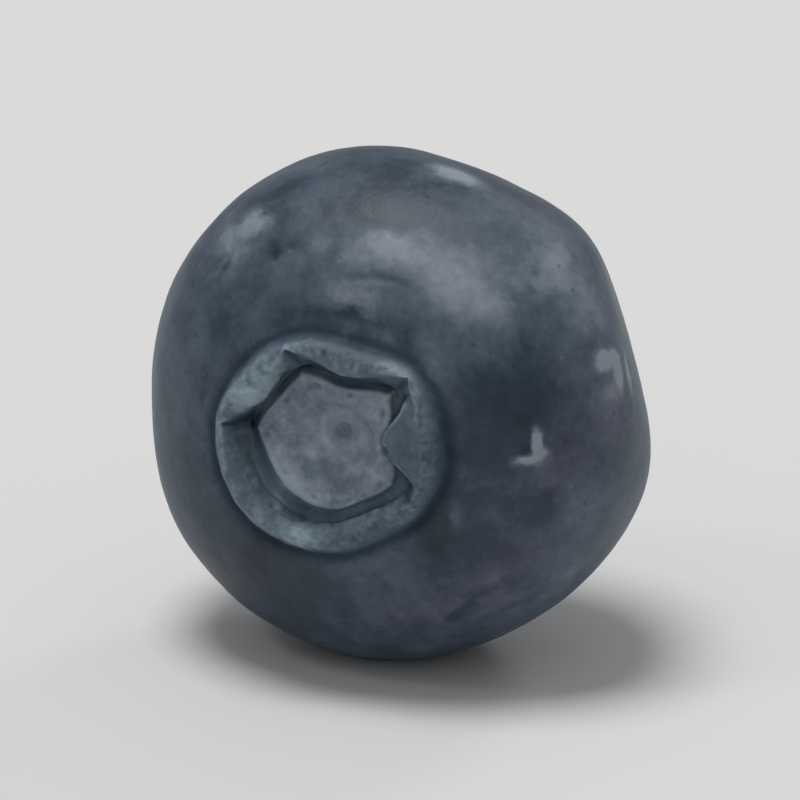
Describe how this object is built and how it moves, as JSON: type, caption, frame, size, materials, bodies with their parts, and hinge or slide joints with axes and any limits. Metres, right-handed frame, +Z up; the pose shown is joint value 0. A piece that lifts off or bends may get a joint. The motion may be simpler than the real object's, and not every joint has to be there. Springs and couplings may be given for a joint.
{
  "type": "blueberry",
  "caption": "Ripe blueberry: a slightly flattened round fruit with a low lobed crown round a shallow basin, lying on its side on a small flat spot.",
  "frame": {"origin": "on the surface it rests on, under the middle of the berry's bounding box", "axes": "+Z up from the flat spot; the crown faces -Y and looks 5 degrees up; +X to the right of someone who looks at the crown"},
  "size_m": [0.0166, 0.0124, 0.0162],
  "materials": {
    "skin": "dark blue skin under a dull waxy bloom"
  },
  "bodies": {
    "root": {"blueberry": "skin"}
  },
  "joints": []
}
